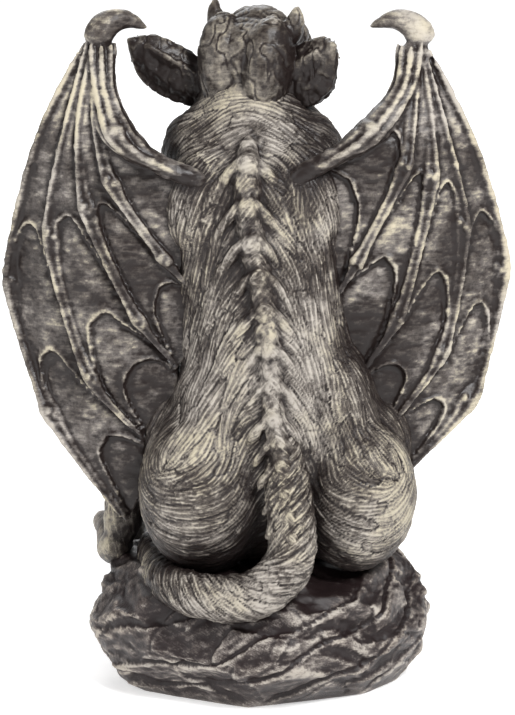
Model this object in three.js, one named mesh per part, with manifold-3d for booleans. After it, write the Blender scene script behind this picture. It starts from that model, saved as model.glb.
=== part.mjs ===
// A gargoyle statue, cast in one piece with the rock that it sits on. It squats like a hound, with
// its hands between its knees, its head turned aside, bat wings half open at its sides and its tail
// laid round one haunch. Millimetres, +Z up, the figure faces -Y, origin in the middle of the underside.
import * as THREE from "three";
import { mergeVertices } from "three/addons/utils/BufferGeometryUtils.js";
import Module from "manifold-3d";

// Driving sizes
const figureHeight = 325; // from the top of the rock to the horn tips
const rockHeight = 80;
const rockWidth = 210; // at its widest, a little above the ground
const rockDepth = 200;
const membraneThickness = 8;
const fingerRadius = 3.6; // of a wing finger, where it leaves the wrist
const archRadius = 1.7; // of the raised folds that cross the membrane
const tailRadius = 14.5; // where the tail meets the rock

// The pose is written in millimetres for a figure this tall, with z from the top of the rock
const poseHeight = 325;
const pose = figureHeight / poseHeight;

const X = new THREE.Vector3(1, 0, 0);
const Y = new THREE.Vector3(0, 1, 0);
const Z = new THREE.Vector3(0, 0, 1);
const sideways = [1, -1]; // the figure's left, then its right

const wasm = await Module();
wasm.setup();

// A closed three.js geometry as a solid that can be joined and cut
function solid(geometry) {
  const bare = geometry.clone();
  bare.deleteAttribute("normal");
  bare.deleteAttribute("uv");
  const merged = mergeVertices(bare, 1e-3);
  const mesh = { numProp: 3, vertProperties: merged.attributes.position.array };
  mesh.triVerts = new Uint32Array(merged.index.array);
  const made = new wasm.Manifold(new wasm.Mesh(mesh));
  if (made.volume() > 0) return made;
  for (let i = 0; i < mesh.triVerts.length; i += 3) {
    const first = mesh.triVerts[i];
    mesh.triVerts[i] = mesh.triVerts[i + 1];
    mesh.triVerts[i + 1] = first;
  }
  return new wasm.Manifold(new wasm.Mesh(mesh));
}

// Moves each point of a geometry to where the function sends it
function reshape(geometry, move) {
  const position = geometry.getAttribute("position");
  const point = new THREE.Vector3();
  for (let i = 0; i < position.count; i++) {
    const moved = move(point.fromBufferAttribute(position, i));
    position.setXYZ(i, moved.x, moved.y, moved.z);
  }
  return geometry;
}

// A rounded mass: centre, three radii and turns about X, Y and Z in degrees
function mass(centre, radii, turns = [0, 0, 0], around = 12, rows = 8) {
  const [tx, ty, tz] = turns.map(THREE.MathUtils.degToRad);
  const ball = new THREE.SphereGeometry(1, around, rows);
  ball.rotateX(Math.PI / 2);
  ball.scale(...radii);
  ball.rotateX(tx).rotateY(ty).rotateZ(tz);
  return ball.translate(...centre);
}

// The skin of a limb swept along a smooth path, by t along it and by degrees round it from side.
// Each row is a point and two radii: the first lies along side, and the second is square to it.
// The ends are rounded over, more bluntly for a larger blunt.
function skinOf(rows, { side = X, blunt = 6 } = {}) {
  const path = new THREE.CatmullRomCurve3(rows.map(([x, y, z]) => new THREE.Vector3(x, y, z)));
  const girth = new THREE.CatmullRomCurve3(rows.map(([, , , a, b = a]) => new THREE.Vector3(a, b, 0)));
  return (t, degrees) => {
    const angle = THREE.MathUtils.degToRad(degrees);
    const swell = Math.sqrt(Math.max(0, 1 - Math.abs(2 * t - 1) ** blunt));
    const along = path.getTangent(t);
    const across = side.clone().addScaledVector(along, -side.dot(along)).normalize();
    const upright = along.clone().cross(across);
    const radii = girth.getPoint(t).multiplyScalar(swell);
    return path
      .getPoint(t)
      .addScaledVector(across, radii.x * Math.cos(angle))
      .addScaledVector(upright, radii.y * Math.sin(angle));
  };
}

function limb(rows, { around = 9, rings = 8, ...shape } = {}) {
  const skin = skinOf(rows, shape);
  return reshape(new THREE.SphereGeometry(1, around, rings), ({ x, y, z }) => {
    const t = Math.acos(THREE.MathUtils.clamp(y, -1, 1)) / Math.PI;
    return skin(t, THREE.MathUtils.radToDeg(Math.atan2(z, x)));
  });
}

// A lock of fur: a ridge through points of the skin, thick at its root and thin at its tip
function lock(points, radius, side = Y) {
  const rows = points.map((point, i) => [...point, radius * (1 - (0.7 * i) / (points.length - 1))]);
  return limb(rows, { around: 5, rings: points.length + 2, side, blunt: 4 });
}

// A curved, pointed claw, fang or horn from its root to its tip
function claw(root, tip, radius, bend, rings = 4) {
  const middle = root.map((value, i) => (value + tip[i]) / 2 + bend[i]);
  const rows = [[...root, radius], [...middle, radius * 0.72], [...tip, radius * 0.16]];
  return limb(rows, { around: 6, rings, blunt: 12 });
}

// Joins geometries of the figure and puts them in their place on the rock
function cast(geometries) {
  const place = new THREE.Matrix4().makeTranslation(0, 0, rockHeight);
  place.scale(new THREE.Vector3(pose, pose, pose));
  return geometries
    .map((geometry) => solid(geometry.clone().applyMatrix4(place)))
    .reduce((joined, next) => joined.add(next));
}

// The rock: a boulder whose flat faces are split along planes at scattered angles, with a flat foot
const rockFaces = 34;
const footShare = 0.89; // how much the sides draw in towards the foot
const buried = 2.1; // how much deeper than its foot the whole boulder would reach
function rock() {
  const turn = Math.PI * (3 - Math.sqrt(5));
  const planes = [];
  for (let i = 0; i < rockFaces; i++) {
    const height = 1 - (2 * (i + 0.5)) / rockFaces;
    const ring = Math.sqrt(1 - height * height);
    const normal = new THREE.Vector3(ring * Math.cos(i * turn), ring * Math.sin(i * turn), height);
    planes.push({ normal, reach: 0.93 + 0.06 * Math.sin(i * 12.9898) });
  }
  const belly = rockHeight * 0.46; // height of the widest part
  return reshape(new THREE.SphereGeometry(1, 34, 16).rotateX(Math.PI / 2), (point) => {
    const direction = point.clone().normalize();
    const reaches = planes.map(({ normal, reach }) => reach / Math.max(0.05, normal.dot(direction)));
    const far = Math.min(...reaches);
    const flat = Math.hypot(direction.x, direction.y);
    const squared = far * Math.max(flat, 1e-6) ** -0.45; // fuller at the shoulders than a ball
    const z = direction.z * far;
    const height = z > 0 ? (rockHeight - belly) * z ** 0.75 : belly * z * buried;
    const foot = z > 0 ? 1 : 1 - (1 - footShare) * Math.min(1, -z * buried) ** 1.5;
    return new THREE.Vector3(
      (rockWidth / 2) * direction.x * squared * foot,
      (rockDepth / 2) * direction.y * squared * foot,
      Math.max(0, belly + height)
    );
  });
}

// Trunk, from the seat to the top of the neck
const trunkRows = [
  [-12, 20, -6, 42, 34],
  [-12, 21, 26, 50, 43],
  [-11, 20, 62, 54, 49],
  [-7, 15, 105, 54, 50],
  [-3, 7, 145, 52, 50],
  [0, -2, 185, 56, 50],
  [2, -8, 220, 57, 46],
  [4, -14, 248, 47, 38],
  [5, -20, 270, 34, 32],
  [5, -24, 290, 25, 26],
];
const trunkShape = { blunt: 10 };
function trunk() {
  return [
    limb(trunkRows, { around: 20, rings: 16, ...trunkShape }),
    ...sideways.flatMap((side) => [
      mass([side * 21 + 1, -36, 204], [25, 17, 27], [-12, 0, side * 8], 12, 8), // breast
      mass([side * 26 + 3, 18, 218], [27, 21, 38], [14, side * -10, 0], 12, 8), // shoulder blade
      mass([side * 30 + 4, -8, 246], [26, 24, 20], [0, side * 32, 0], 10, 7), // slope from neck to shoulder
      mass([side * 31 - 10, 25, 82], [33, 37, 58], [4, side * -6, 0], 12, 9), // flank above the haunch
    ]),
    mass([-3, -26, 154], [40, 22, 58], [6, 0, 0], 12, 9), // ribs
    mass([-8, -13, 88], [45, 26, 60], [0, 0, 0], 12, 9), // belly
  ];
}

// Locks of fur on the trunk. They slant down and away from the spine behind and from the breastbone
// in front, and fan out over the nape. Degrees run round the trunk, with 90 at the spine.
const spineSide = 90;
const breastSide = 270;
function trunkFur() {
  const skin = skinOf(trunkRows, trunkShape);
  const pieces = [];
  const slant = (middle, side, from, to, high, low, radius) => {
    const points = [0, 0.5, 1].map((share) => {
      const degrees = middle - side * THREE.MathUtils.lerp(from, to, share);
      return skin(THREE.MathUtils.lerp(high, low, share ** 0.8), degrees);
    });
    pieces.push(lock(points, radius));
  };
  for (const side of sideways) {
    for (let i = 0; i < 8; i++) {
      const high = 0.3 + 0.058 * i;
      slant(spineSide, side, 28, 46, high - 0.01, high - 0.12, 4.2);
      slant(spineSide, side, 56, 70, high - 0.01, high - 0.13, 3.8);
    }
    for (let i = 0; i < 4; i++) {
      const high = 0.6 + 0.06 * i;
      slant(breastSide, -side, 3, 14, high, high - 0.065, 4.5);
      slant(breastSide, -side, 19, 32, high + 0.03, high - 0.05, 4.2);
    }
    for (const start of [4, 20, 36]) slant(spineSide, side, start, start * 1.5 + 6, 0.77, 0.9, 4);
  }
  return pieces;
}

// Knobs of the spine, which shrink from the shoulders to the tail, each with a lock of fur that
// drapes down either side of it
const spineKnobs = 13;
const spinePath = new THREE.CatmullRomCurve3(
  [
    [6, 30, 257],
    [7, 44, 226],
    [4, 51, 196],
    [-2, 58, 166],
    [-6, 64, 130],
    [-9, 71, 95],
    [-13, 78, 72],
    [-17, 86, 44],
    [-20, 94, 22],
  ].map((point) => new THREE.Vector3(...point))
);
function spine() {
  const pieces = [];
  for (let i = 0; i < spineKnobs; i++) {
    const share = ((i + 0.5) / spineKnobs) ** 0.85;
    const { x, y, z } = spinePath.getPointAt(share);
    const size = 10.5 - 4.5 * share;
    pieces.push(mass([x, y, z], [size, size * 0.8, size * 1.2], [-18, 0, 0], 8, 5));
    for (const side of sideways) {
      const drape = [
        [x, y, z + size * 0.7],
        [x + side * size * 1.1, y - size * 0.2, z - size * 0.5],
        [x + side * size * 2.1, y - size * 0.9, z - size * 2],
      ];
      pieces.push(lock(drape, size * 0.45));
    }
  }
  const ridge = [0, 0.25, 0.5, 0.75, 1].map((share) => {
    const { x, y, z } = spinePath.getPointAt(share);
    return [x, y - 4, z, 8.5 - 2.5 * share, 8];
  });
  return [...pieces, limb(ridge, { around: 7, rings: 10, blunt: 12 })];
}

// Tail, from the rump down to the rock and round the left haunch
const tailRows = [
  [-13, 58, 92, 1.05],
  [-16, 70, 62, 1.02],
  [-19, 78, 34, 1],
  [-18, 85, 12, 1],
  [0, 88, -6, 0.98],
  [23, 85, -10, 0.94],
  [43, 74, -9, 0.88],
  [56, 48, -9, 0.8],
  [62, 14, -8, 0.72],
  [66, -14, -5, 0.58],
  [66, -34, -2, 0.3],
];
function tail() {
  const rows = tailRows.map(([x, y, z, share]) => [x, y, z, tailRadius * share]);
  const skin = skinOf(rows, { side: Z });
  const tufts = Array.from({ length: 14 }, (_, i) => {
    const t = 0.16 + 0.048 * i;
    return lock([skin(t, 40), skin(t + 0.012, -10), skin(t + 0.03, -60)], 3.4, X.clone().add(Z));
  });
  return [limb(rows, { around: 12, rings: 26, side: Z }), ...tufts];
}

// Hind legs: haunch, thigh up to the knee, shin back to the hock, and a foot with three toes
const hindLegs = [
  { haunch: [32, 38, 44], girth: 40, knee: [62, -36, 80], hock: [87, -6, -5], toes: [84, -60, -12] },
  { haunch: [-57, 38, 42], girth: 37, knee: [-75, -36, 76], hock: [-73, -12, -4], toes: [-76, -60, -12] },
];
const bowls = [[-40, 42], [-22, 56], [-4, 64], [14, 62], [32, 54]]; // degrees: the lowest point, the reach
function hindLeg({ haunch, girth, knee, hock, toes }) {
  const [hx, hy, hz] = haunch;
  const [kx, ky, kz] = knee;
  const [ox, oy, oz] = hock;
  const [tx, ty, tz] = toes;
  const out = Math.sign(hx);
  const depth = girth * 1.08;
  const height = girth * 1.28;
  const pieces = [
    mass(haunch, [girth, depth, height], [0, 0, 0], 16, 12),
    limb(
      [
        [hx - out * 4, hy - 4, hz + 20, 30, 38],
        [hx * 0.7 + kx * 0.3 + out * 4, hy * 0.6 + ky * 0.4, hz * 0.5 + kz * 0.5 + 6, 29, 37],
        [hx * 0.3 + kx * 0.7 + out * 4, hy * 0.3 + ky * 0.7, hz * 0.2 + kz * 0.8 + 4, 24, 31],
        [kx, ky, kz, 17, 20],
      ],
      { around: 12, rings: 9 }
    ),
    limb([
      [kx, ky - 4, kz + 8, 16],
      [(kx + ox) / 2, (ky + oy) / 2 - 8, (kz + oz) / 2, 15],
      [ox, oy, oz, 11],
    ]),
    limb([
      [ox, oy + 8, oz + 4, 10],
      [ox, oy - 20, oz - 4, 12, 11],
      [tx, ty + 14, tz + 8, 16, 11],
      [tx, ty - 2, tz + 4, 15, 9],
    ]),
  ];
  // Fur hangs round the haunch in bowls, each a pair of locks that meet at its lowest part
  for (const [low, reach] of bowls) {
    for (const way of sideways) {
      const points = [1, 0.6, 0.2].map((share) => {
        const turn = THREE.MathUtils.degToRad(way * reach * share + out * 12);
        const rise = THREE.MathUtils.degToRad(low + 30 * share * share);
        const flat = Math.cos(rise);
        return new THREE.Vector3(
          hx + girth * flat * Math.sin(turn),
          hy + depth * flat * Math.cos(turn),
          hz + height * Math.sin(rise)
        );
      });
      pieces.push(lock(points, 3));
    }
  }
  for (const toe of [-1, 0, 1]) {
    const x = tx + toe * 10;
    const reach = ty - 13 + Math.abs(toe) * 4;
    const bones = [
      [x, ty + 6, tz + 6, 7],
      [x + toe * 2, (ty + reach) / 2, tz + 8, 6.5],
      [x + toe * 2, reach, tz - 1, 5],
    ];
    pieces.push(limb(bones, { around: 7, rings: 5 }));
    pieces.push(claw([x + toe * 2, reach + 6, tz + 4], [x + toe * 2, reach - 11, tz - 12], 4, [0, -4, 3]));
  }
  return pieces;
}

// Arms straight down from the shoulders, with the hands on the front of the rock
function arm(side) {
  const hand = [side * 35 - 3, -65, 4];
  const pieces = [
    limb(
      [
        [side * 40, -6, 234, 24, 24],
        [side * 50, -16, 208, 25, 29],
        [side * 54, -25, 172, 21, 25],
        [side * 55, -28, 138, 17, 20],
        [side * 52, -36, 108, 17, 20],
        [side * 46, -49, 66, 14, 16],
        [side * 40, -60, 28, 11, 12],
        [hand[0], hand[1], hand[2], 13, 10],
      ],
      { around: 12, rings: 14 }
    ),
    mass([hand[0], hand[1] - 4, hand[2] + 1], [17, 15, 10], [14, 0, 0], 10, 6),
    lock([[side * 53, -10, 150], [side * 54, -6, 132], [side * 52, -10, 112]], 8, X), // fur of the elbow
    lock([[side * 57, -16, 138], [side * 59, -12, 120], [side * 56, -14, 96]], 7, X),
    lock([[side * 50, -20, 118], [side * 50, -14, 100], [side * 48, -18, 78]], 7, X),
  ];
  for (const finger of [-1.5, -0.5, 0.5, 1.5]) {
    const x = hand[0] + finger * 8;
    const reach = hand[1] - 19 + Math.abs(finger) * 2;
    const bones = [
      [x, hand[1] - 4, hand[2] + 3, 5],
      [x, hand[1] - 13, hand[2] + 5, 4.8],
      [x, reach, hand[2] - 3, 4],
    ];
    pieces.push(limb(bones, { around: 6, rings: 5 }));
    pieces.push(claw([x, reach + 6, hand[2] + 1], [x, reach - 7, hand[2] - 14], 3.4, [0, -4, 2]));
  }
  return pieces;
}

// Head, made square to the front and then set on the neck, turned to the figure's right and bowed
const headTurn = -24;
const headBow = 8;
const headPlace = [3, -20, 294];
// Arcs from the middle of the face back to one side; the other side mirrors them
const brow = [[0, -28, 6, 6], [14, -25, 12, 8.5], [27, -14, 9, 7]];
const upperJaw = [[0, -54, -20, 8], [8, -51, -22, 9], [16, -38, -25, 9], [23, -16, -29, 8]];
const lowerJaw = [[0, -45, -48, 7], [8, -42, -48, 7.5], [17, -26, -46, 8], [21, -4, -38, 9]];
function head() {
  const arc = (rows, rings) => {
    const mirrored = rows.slice(1).map(([x, ...rest]) => [-x, ...rest]);
    return limb([...mirrored.reverse(), ...rows], { side: Z, rings, around: 8 });
  };
  const pieces = [
    mass([0, 0, 0], [28, 27, 27], [0, 0, 0], 14, 10),
    mass([0, -22, -14], [24, 22, 20], [0, 0, 0], 12, 8),
    limb([[0, -26, 4, 9, 8], [0, -42, -3, 10, 9], [0, -54, -9, 12, 8]], { rings: 6 }),
    arc(brow, 9),
    arc(upperJaw, 12),
    arc(lowerJaw, 12),
    mass([0, -10, -40], [19, 22, 13], [10, 0, 0], 10, 7),
    mass([0, 6, -26], [22, 22, 24], [0, 0, 0], 10, 7),
    mass([0, -6, 15], [21, 19, 17], [0, 0, 0], 12, 8),
  ];
  for (const side of sideways) {
    pieces.push(mass([side * 12, 12, 1], [14, 17, 26], [0, side * 4, 0], 10, 8)); // lobe of the skull
    pieces.push(mass([side * 12.5, -25, 2], [6.2, 5.5, 5.2], [0, 0, 0], 8, 6)); // eye
    pieces.push(mass([side * 20, -16, -12], [11, 15, 12], [0, 0, 0], 9, 6)); // cheek
    pieces.push(mass([side * 6, -52, -12], [7, 6, 6], [0, 0, 0], 7, 5)); // nostril
    pieces.push(claw([side * 9, -50, -26], [side * 10, -52, -38], 3.4, [0, -1, 0], 3)); // upper fang
    pieces.push(claw([side * 15, -36, -43], [side * 17, -39, -26], 3.6, [side * 1.5, -2, 0], 3)); // tusk
    pieces.push(claw([side * 20, -1, 14], [side * 27, 1, 34], 8.5, [side * 2, 2, 0], 5)); // horn
    pieces.push(mass([side * 20, -10, 16], [9, 12, 9], [0, 0, 0], 8, 6)); // brow boss before the horn
  }
  return pieces;
}

// A bat's ear: a pointed leaf, cupped towards the front. Reach runs from the skull to the tip,
// and lie is the way in which the leaf's lower edge points.
const ears = [
  { root: [24, -8, -10], reach: [52, 2, 22], lie: [0.34, 0.1, -0.94], width: 23 },
  { root: [-17, 2, -6], reach: [-34, 22, 20], lie: [-0.2, 0.28, -0.94], width: 25 },
];
const earThickness = 7;
function ear({ root, reach, lie, width }) {
  const start = new THREE.Vector3(...root);
  const out = new THREE.Vector3(...reach);
  const down = new THREE.Vector3(...lie);
  down.addScaledVector(out, -down.dot(out) / out.lengthSq()).normalize();
  const back = out.clone().cross(down).normalize();
  if (back.y < 0) back.negate();
  return reshape(new THREE.BoxGeometry(1, 1, 1, 6, 6, 1), ({ x, y, z }) => {
    const t = y + 0.5;
    const across = 2 * x;
    const half = width * (0.62 + 0.7 * t) * Math.sqrt(Math.max(0.01, 1 - t ** 1.6));
    const cup = 10 * (1 - across * across) * (1 - 0.5 * t);
    return start
      .clone()
      .addScaledVector(out, t * (1 - 0.08 * across * across))
      .addScaledVector(down, half * across * (across > 0 ? 1.05 : 0.5) + width * 0.2 * (1 - t))
      .addScaledVector(back, cup + z * earThickness * (1 - 0.45 * t));
  });
}

// Wings. Each finger runs from the wrist over a knuckle and a joint to its tip, given as x from the
// middle and z. The first rail is the wing's arm, seen from the wrist back to the shoulder.
const wings = [
  {
    side: 1,
    rails: [
      [[94, 309], [92, 282], [80, 255], [58, 241], [30, 229]],
      [[95, 308], [95, 258], [88, 230], [56, 183], [40, 164]],
      [[97, 308], [106, 250], [102, 212], [71, 145], [48, 116]],
      [[100, 308], [116, 246], [124, 194], [100, 108], [68, 72]],
      [[103, 307], [134, 240], [148, 160], [126, 84], [80, 20]],
    ],
    clawTip: [66, -4, 316],
  },
  {
    side: -1,
    rails: [
      [[-91, 309], [-86, 284], [-63, 257], [-43, 245], [-17, 230]],
      [[-92, 308], [-90, 268], [-86, 240], [-58, 181], [-46, 160]],
      [[-93, 308], [-100, 266], [-102, 232], [-82, 147], [-56, 106]],
      [[-95, 308], [-112, 246], [-121, 201], [-109, 123], [-78, 80]],
      [[-98, 307], [-131, 236], [-145, 170], [-127, 92], [-82, 45]],
    ],
    clawTip: [-65, -4, 316],
  },
];
const archPlaces = [[0.62], [0.44, 0.76], [0.4, 0.64, 0.86], [0.38, 0.61, 0.83]]; // shares down a panel
const wingBulge = 24; // how far back the middle of a wing stands
const wingCurl = 46; // how far its outer edge curls forward of that

function wingDepth(x, z) {
  const out = THREE.MathUtils.clamp((Math.abs(x) - 70) / 82, 0, 1);
  return wingBulge - wingCurl * out * out - 20 * THREE.MathUtils.smoothstep(z, 240, 315);
}

function wingRails(wing) {
  return wing.rails.map((rail) => {
    const points = rail.map(([x, z]) => new THREE.Vector3(x, wingDepth(x, z), z));
    return new THREE.CatmullRomCurve3(points);
  });
}

// A point of the wing's skin: across runs over the panels from the arm to the outer finger
function wingPoint(rails, across, down) {
  const panel = Math.min(rails.length - 2, Math.floor(across));
  const share = across - panel;
  const point = rails[panel].getPoint(down).lerp(rails[panel + 1].getPoint(down), share);
  const billow = 4 * share * (1 - share);
  point.y = wingDepth(point.x, point.z) - 3.5 * billow * down;
  if (down > 0.8) point.x -= Math.sign(point.x) * billow * 30 * (down - 0.8);
  return point;
}

function wingSkin(rails) {
  const columns = 12;
  const rows = 13;
  const thickness = membraneThickness / pose;
  return reshape(new THREE.BoxGeometry(1, 1, 1, columns, rows, 1), ({ x, y, z }) => {
    const across = (x + 0.5) * (rails.length - 1);
    const down = 0.5 - y;
    const step = 0.02;
    const point = wingPoint(rails, across, down);
    const overStart = Math.min(across, rails.length - 1 - step);
    const downStart = Math.min(down, 1 - step);
    const over = wingPoint(rails, overStart + step, down).sub(wingPoint(rails, overStart, down));
    const below = wingPoint(rails, across, downStart + step).sub(wingPoint(rails, across, downStart));
    const normal = over.cross(below).normalize();
    if (normal.y < 0) normal.negate();
    return point.addScaledVector(normal, z * thickness);
  });
}

// A finger of the wing: a row of slender bones, thicker where they meet. Each pair is a share of the
// way along and the girth there.
const knuckles = [[0.43, 0.92], [0.5, 1.35], [0.57, 0.9], [0.7, 0.8], [0.75, 1.2], [0.8, 0.75]];
function wingFinger(rail, isOuter) {
  const radius = (fingerRadius / pose) * (isOuter ? 1.25 : 1);
  const rows = [];
  for (const [t, share] of [[0, 1], [0.2, 0.9], ...knuckles, [1, 0.45]]) {
    const point = rail.getPoint(t);
    rows.push([point.x, point.y + (membraneThickness / pose) * 0.5, point.z, radius * share]);
  }
  return limb(rows, { around: 6, rings: 14, side: Y });
}

function wingArch(rails, panel, place) {
  const rise = 0.075;
  const rows = [0.06, 0.2, 0.5, 0.8, 0.94].map((share) => {
    const lift = 1 - Math.abs(2 * share - 1) ** 2.6;
    const point = wingPoint(rails, panel + share, Math.min(1, place + 0.05 - rise * 1.6 * lift));
    return [point.x, point.y + (membraneThickness / pose) * 0.5, point.z, archRadius / pose];
  });
  return limb(rows, { around: 4, rings: 8, side: Y });
}

function wing(plan) {
  const rails = wingRails(plan);
  const { side, clawTip } = plan;
  const [wrist, fore, elbow, upper, shoulder] = [0, 0.25, 0.5, 0.75, 1].map((t) => rails[0].getPoint(t));
  const bone = (point, back, ...radii) => [point.x, point.y + back, point.z, ...radii];
  const arm = [
    bone(wrist, 1, 8.5),
    bone(fore, 3, 6),
    bone(elbow, 6, 8.5),
    bone(upper, 10, 6.5),
    bone(shoulder, 16, 10, 12),
  ];
  return [
    wingSkin(rails),
    ...rails.slice(1).map((rail, i) => wingFinger(rail, i === rails.length - 2)),
    ...archPlaces.flatMap((places, panel) => places.map((place) => wingArch(rails, panel, place))),
    limb(arm, { around: 9, rings: 16, side: Y, blunt: 12 }),
    mass([elbow.x, elbow.y + 8, elbow.z], [9.5, 8, 9.5], [0, 0, 0], 8, 6),
    limb(
      [
        [side * 98, 0, 306, 9],
        [side * 92, 0, 317, 8.5],
        [side * 80, -3, 321, 6],
        [...clawTip, 1.2],
      ],
      { around: 8, rings: 8, side: Y, blunt: 10 }
    ),
  ];
}

// Takes out the points that matter least to the form, shortest error first, until the mesh has few
// enough triangles. A point slides along an edge onto its neighbour; the surface stays closed.
const mostTriangles = 9800;
function thinned(mesh, most) {
  const points = [];
  for (let i = 0; i < mesh.vertProperties.length; i += 3) {
    points.push(new THREE.Vector3().fromArray(mesh.vertProperties, i));
  }
  let faces = [];
  for (let i = 0; i < mesh.triVerts.length; i += 3) faces.push([...mesh.triVerts.slice(i, i + 3)]);

  const squareOn = ([a, b, c]) => points[b].clone().sub(points[a]).cross(points[c].clone().sub(points[a]));
  const planes = points.map(() => []); // the planes that each point has to stay near
  for (const face of faces) {
    const normal = squareOn(face);
    const area = normal.length();
    if (area < 1e-9) continue;
    const plane = new THREE.Plane().setFromNormalAndCoplanarPoint(normal.divideScalar(area), points[face[0]]);
    for (const corner of face) planes[corner].push([plane, area]);
  }
  const strain = (from, onto) => {
    let sum = 0;
    for (const [plane, area] of planes[from]) sum += area * plane.distanceToPoint(points[onto]) ** 2;
    return sum + 1e-4 * points[from].distanceToSquared(points[onto]);
  };

  while (faces.length > most) {
    const around = points.map(() => []);
    faces.forEach((face, i) => face.forEach((corner) => around[corner].push(i)));
    const moves = [];
    for (const face of faces) {
      for (let i = 0; i < 3; i++) {
        const [from, onto] = [face[i], face[(i + 1) % 3]];
        moves.push({ from, onto, cost: strain(from, onto) });
        moves.push({ from: onto, onto: from, cost: strain(onto, from) });
      }
    }
    moves.sort((a, b) => a.cost - b.cost);
    const settled = new Set();
    const allowed = Math.max(40, (faces.length - most) / 2);
    let done = 0;
    for (const { from, onto } of moves) {
      if (done >= Math.min(allowed, faces.length / 24)) break;
      const near = (corner) => new Set(around[corner].flatMap((i) => faces[i]));
      const fromNear = near(from);
      const ontoNear = near(onto);
      if ([...fromNear].some((corner) => settled.has(corner)) || settled.has(onto)) continue;
      const shared = [...fromNear].filter((corner) => ontoNear.has(corner));
      if (shared.length !== 4) continue; // the edge's own two ends and the two points beside it
      const kept = around[from].filter((i) => !faces[i].includes(onto));
      const turned = kept.some((i) => {
        const before = squareOn(faces[i]);
        const moved = faces[i].map((corner) => (corner === from ? onto : corner));
        const after = squareOn(moved);
        return before.dot(after) <= 0.3 * before.length() * after.length() || after.length() < 1e-4;
      });
      if (turned) continue;
      for (const i of around[from]) {
        const moved = faces[i].map((corner) => (corner === from ? onto : corner));
        faces[i] = faces[i].includes(onto) ? null : moved;
      }
      planes[onto].push(...planes[from]);
      for (const corner of [...fromNear, ...ontoNear]) settled.add(corner);
      done++;
    }
    faces = faces.filter(Boolean);
    if (!done) break;
  }

  const corners = faces.flat().flatMap((corner) => points[corner].toArray());
  const geometry = new THREE.BufferGeometry();
  geometry.setAttribute("position", new THREE.Float32BufferAttribute(corners, 3));
  geometry.computeVertexNormals();
  return geometry;
}

// The whole casting
const headPose = new THREE.Matrix4()
  .makeTranslation(...headPlace)
  .multiply(new THREE.Matrix4().makeRotationZ(THREE.MathUtils.degToRad(headTurn)))
  .multiply(new THREE.Matrix4().makeRotationX(THREE.MathUtils.degToRad(headBow)));

const figure = [
  ...trunk(),
  ...trunkFur(),
  ...spine(),
  ...tail(),
  ...hindLegs.flatMap(hindLeg),
  ...sideways.flatMap(arm),
  ...head().map((geometry) => geometry.applyMatrix4(headPose)),
  ...ears.map((plan) => ear(plan).translate(...headPlace)),
  ...wings.flatMap(wing),
];
const casting = solid(rock()).add(cast(figure));

const gargoyle = new THREE.Mesh(
  thinned(casting.getMesh(), mostTriangles),
  new THREE.MeshStandardMaterial({ color: 0x6f6a5f, roughness: 0.72, metalness: 0 })
);
gargoyle.name = "gargoyle";

const statue = new THREE.Group();
statue.add(gargoyle);
export default statue;
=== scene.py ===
# A gargoyle statue of cast resin, painted as weathered stone: the rock, the furred body, its limbs and
# tail, the head and the two bat wings. Shapes are worked out in millimetres and set down in metres.
import math

import bmesh
import bpy
import numpy as np
from mathutils import Matrix, Vector
from mathutils.bvhtree import BVHTree
from mathutils.kdtree import KDTree


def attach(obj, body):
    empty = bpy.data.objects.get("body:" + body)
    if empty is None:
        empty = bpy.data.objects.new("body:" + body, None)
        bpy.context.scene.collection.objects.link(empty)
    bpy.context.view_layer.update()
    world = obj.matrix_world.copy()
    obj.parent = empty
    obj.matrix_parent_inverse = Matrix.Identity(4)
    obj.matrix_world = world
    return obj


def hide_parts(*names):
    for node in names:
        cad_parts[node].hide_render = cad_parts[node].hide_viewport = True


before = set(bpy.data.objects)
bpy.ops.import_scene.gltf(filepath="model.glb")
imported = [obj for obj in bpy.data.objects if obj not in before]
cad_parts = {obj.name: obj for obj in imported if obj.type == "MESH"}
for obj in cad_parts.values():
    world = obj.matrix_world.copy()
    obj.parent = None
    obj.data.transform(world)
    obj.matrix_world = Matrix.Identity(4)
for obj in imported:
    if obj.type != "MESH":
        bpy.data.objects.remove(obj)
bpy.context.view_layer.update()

# Rock. The boulder that the figure is cast with, of the same resin: split faces, slanting ledges with
# cracks between them and a flat foot. It is a ball pushed out to its split planes and then chipped.
rock_height, rock_width, rock_depth = 80, 210, 200
rock_faces = 34
foot_share = 0.89  # how much the sides draw in towards the foot
buried = 2.1  # how much deeper than its foot the whole boulder would reach
ledge_slant = Vector((0.42, 0.3, 1)).normalized()
ledge_height = 21
coarseness = 1


def ball(bm, around, rows):
    """Adds a unit ball with its poles along Z and gives its points."""
    return bmesh.ops.create_uvsphere(bm, u_segments=around, v_segments=rows, radius=1)["verts"]


def added(name, data):
    """A new object of the scene."""
    made = bpy.data.objects.new(name, data)
    bpy.context.scene.collection.objects.link(made)
    return made


def skin_round(bm, voxel, easing):
    """One closed skin round all the overlapping shells in a bmesh."""
    mesh = bpy.data.meshes.new("shells")
    bm.to_mesh(mesh)
    bm.free()
    shells = added("shells", mesh)
    remesh = shells.modifiers.new("skin", "REMESH")
    remesh.mode = "VOXEL"
    remesh.voxel_size = voxel * coarseness
    smooth = shells.modifiers.new("easing", "SMOOTH")
    smooth.factor = 0.5
    smooth.iterations = round(easing / coarseness)
    skin = bpy.data.meshes.new_from_object(shells.evaluated_get(bpy.context.evaluated_depsgraph_get()))
    bpy.data.objects.remove(shells)
    bpy.data.meshes.remove(mesh)
    return skin


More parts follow.
